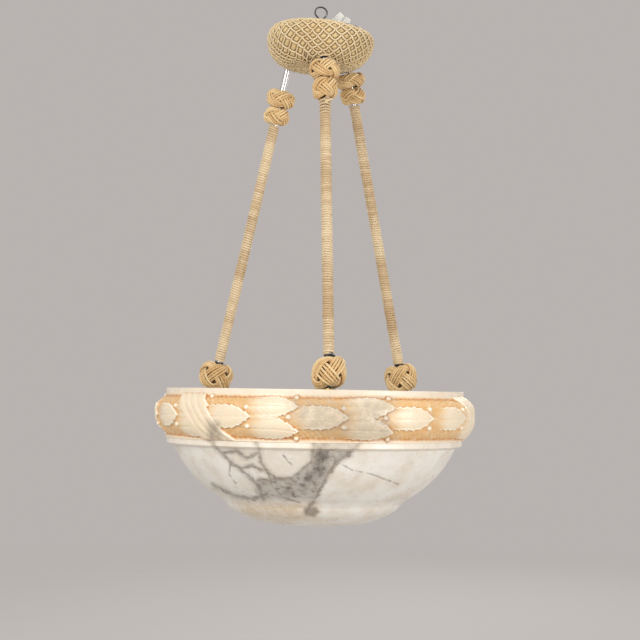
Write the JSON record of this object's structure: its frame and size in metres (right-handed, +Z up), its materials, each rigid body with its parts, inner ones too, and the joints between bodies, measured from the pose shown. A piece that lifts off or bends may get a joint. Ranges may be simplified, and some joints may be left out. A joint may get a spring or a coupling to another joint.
{
  "type": "bowl pendant light",
  "caption": "Carved stone bowl hung on rope-wound tubes from a net-covered canopy with a wire hanging eye.",
  "frame": {"origin": "the point of the hanging eye that bears on the ceiling hook", "axes": "+Z up; the front arm is towards -Y, the other two arms 120 degrees round"},
  "size_m": [0.4206, 0.4205, 0.6876],
  "materials": {
    "alabaster": "polished, veined, amber-stained carved rim",
    "steel": "zinc plated",
    "chrome": "bright",
    "cord": "twisted tan cord",
    "tape": "glossy insulating tape",
    "brass": "aged",
    "lampholder": "black moulded",
    "lamp": "opal",
    "black_sheath": "matt black flex",
    "white_sheath": "white flex",
    "blue_insulation": "blue",
    "brown_insulation": "brown",
    "connector": "white moulded",
    "canopy_fabric": "tan cloth under a knotted cord net",
    "cup": "cream paint"
  },
  "bodies": {
    "hanger": {"hanger_wire": "steel"},
    "link": {"link_ring": "steel"},
    "frame": {"block_screws": "steel", "bowl": "alabaster", "cable_front": "black_sheath", "cable_left": "black_sheath", "cable_right": "black_sheath", "connector_blue": "connector", "connector_brown": "connector", "eye_bolt": "steel", "eye_bolt_nut": "steel", "flex_white": "white_sheath", "foot_block_front": "brass", "foot_block_left": "brass", "foot_block_right": "brass", "hub_dish": "steel", "lamp_bracket_front": "steel", "lamp_bracket_left": "steel", "lamp_bracket_right": "steel", "lamp_front": "lamp", "lamp_left": "lamp", "lamp_right": "lamp", "lampholder_front": "lampholder", "lampholder_left": "lampholder", "lampholder_right": "lampholder", "leads_blue": "blue_insulation", "leads_brown": "brown_insulation", "low_knot_front": "cord", "low_knot_left": "cord", "low_knot_right": "cord", "rim_inserts": "brass", "rim_screws": "steel", "rim_strap_front": "steel", "rim_strap_left": "steel", "rim_strap_right": "steel", "sheath_front": "black_sheath", "sheath_right": "black_sheath", "tape_front": "tape", "tape_left": "tape", "tape_right": "tape", "top_knot_lower_front": "cord", "top_knot_lower_right": "cord", "top_knot_upper_front": "cord", "top_knot_upper_right": "cord", "tube_front": "chrome", "tube_left": "chrome", "tube_nuts": "steel", "tube_right": "chrome", "winding_front": "cord", "winding_left": "cord", "winding_right": "cord"},
    "canopy": {"canopy_cover": "canopy_fabric", "canopy_cup": "cup"},
    "left_knots": {"top_knot_lower_left": "cord", "top_knot_upper_left": "cord"}
  },
  "joints": [
    {"name": "swing_fore_aft", "type": "hinge", "parent": "hanger", "child": "link", "pos_m": [0, 0, -0.03272], "axis": [1, 0, 0], "range_deg": [-15, 15]},
    {"name": "swing_side", "type": "hinge", "parent": "link", "child": "frame", "pos_m": [0, 0, -0.04092], "axis": [0, 1, 0], "range_deg": [-15, 15]},
    {"name": "canopy_lift", "type": "slide", "parent": "frame", "child": "canopy", "axis": [0, 0, 1], "range_m": [0, 0.012]},
    {"name": "left_knots_slide", "type": "slide", "parent": "frame", "child": "left_knots", "axis": [0.2023, -0.1168, 0.9723], "range_m": [0, 0.026]}
  ]
}
